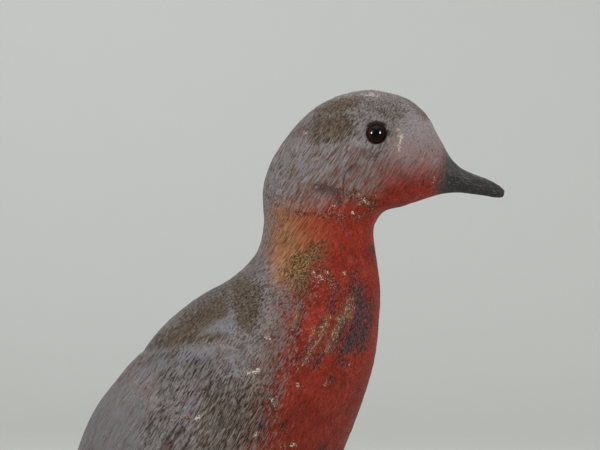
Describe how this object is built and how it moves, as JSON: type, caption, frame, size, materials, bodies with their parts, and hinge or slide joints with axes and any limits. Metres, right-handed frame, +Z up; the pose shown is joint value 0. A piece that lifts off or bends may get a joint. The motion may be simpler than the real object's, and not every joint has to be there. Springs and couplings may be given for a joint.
{
  "type": "carved dipping bird figure",
  "caption": "Carved and painted wooden pigeon with glass eyes on a stake and turned base: it rocks on a pin to dip its bill, and turns on the stake.",
  "frame": {"origin": "centre of the felt's underside, where the base rests on the desk, on the stake's axis", "axes": "+Z up along the stake, +X the way the bird faces at rest, +Y the bird's left side"},
  "size_m": [0.2205, 0.12, 0.315],
  "materials": {
    "painted_wood": "satin",
    "bill_paint": "satin",
    "plain_wood": "matte",
    "eye_glass": "gloss",
    "iris_paint": "satin",
    "putty": "matte",
    "steel": "satin",
    "brass": "satin",
    "iron": "matte",
    "leather": "matte",
    "stained_wood": "satin",
    "felt": "matte"
  },
  "bodies": {
    "base": {"base_block": "stained_wood", "socket_bush": "brass", "flange_screws": "brass", "felt_pad": "felt"},
    "stake": {"stake": "stained_wood", "ferrule": "brass", "pivot_blade": "steel", "hub_bush": "brass", "blade_rivets": "brass"},
    "bird": {"body_left": "painted_wood", "body_right": "painted_wood", "head": "painted_wood", "bill": "bill_paint", "neck_dowel": "plain_wood", "body_dowels": "plain_wood", "tail": "painted_wood", "wing_tip_left": "painted_wood", "wing_tip_right": "painted_wood", "glass_eye_left": "eye_glass", "glass_eye_right": "eye_glass", "iris_left": "iris_paint", "iris_right": "iris_paint", "eye_putty_left": "putty", "eye_putty_right": "putty", "pivot_pin": "steel", "pin_sleeve_left": "brass", "pin_sleeve_right": "brass", "pin_bung_left": "painted_wood", "pin_bung_right": "painted_wood", "ballast_slug": "iron", "rear_stop_pad": "leather", "front_stop_pad": "leather"}
  },
  "joints": [
    {"name": "stake_swivel", "type": "hinge", "parent": "base", "child": "stake", "pos_m": [0, 0, 0.026], "axis": [0, 0, 1], "continuous": true},
    {"name": "bird_dip", "type": "hinge", "parent": "stake", "child": "bird", "pos_m": [0, 0, 0.195], "axis": [0, 1, 0], "range_deg": [0, 60]}
  ]
}
